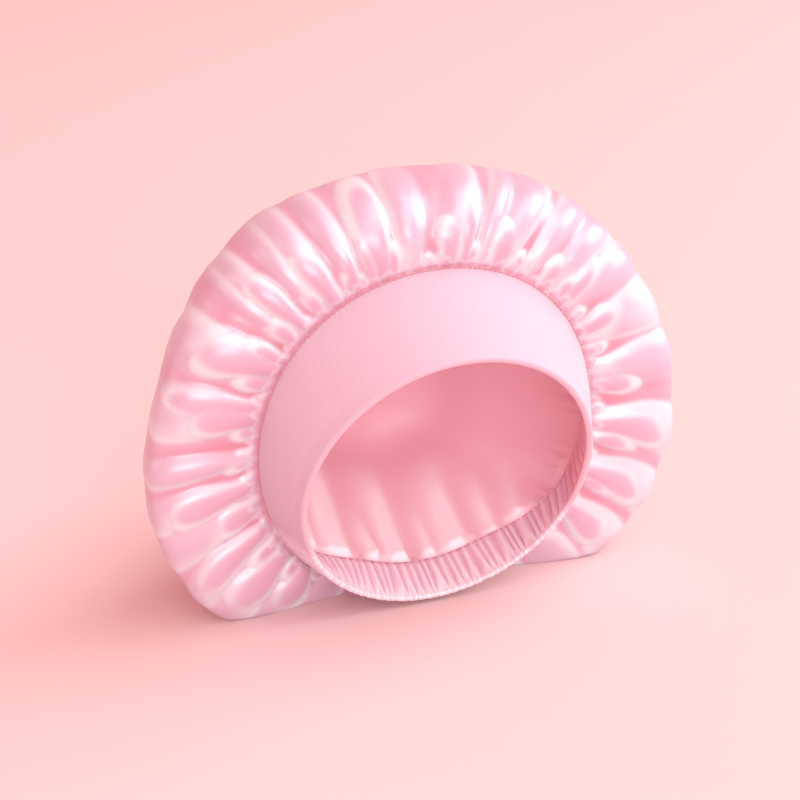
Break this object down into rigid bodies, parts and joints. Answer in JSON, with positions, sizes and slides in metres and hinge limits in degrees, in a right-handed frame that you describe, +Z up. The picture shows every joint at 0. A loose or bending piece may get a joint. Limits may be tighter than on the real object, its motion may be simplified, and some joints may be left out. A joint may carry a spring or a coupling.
{
  "type": "sleep bonnet",
  "caption": "Puffed, pleated satin sleep bonnet with a wide soft front band and an elastic nape casing, worn over the hair at night and shown resting on its crown.",
  "frame": {"origin": "on the floor that the bonnet rests on, under the middle of its bounding box", "axes": "+X to the wearer's left along the longest extent, +Y from the mouth towards the back of the crown, +Z up"},
  "size_m": [0.3306, 0.167, 0.2564],
  "materials": {
    "crown_satin": "blush pink satin, pale lilac highlights",
    "lining_satin": "salmon pink satin",
    "band_cloth": "soft matt pink cloth with a fine diagonal texture",
    "casing_satin": "blush pink satin, gathered on elastic"
  },
  "bodies": {
    "root": {"crown": "crown_satin", "lining": "lining_satin", "front_band": "band_cloth", "nape_casing": "casing_satin"}
  },
  "joints": []
}
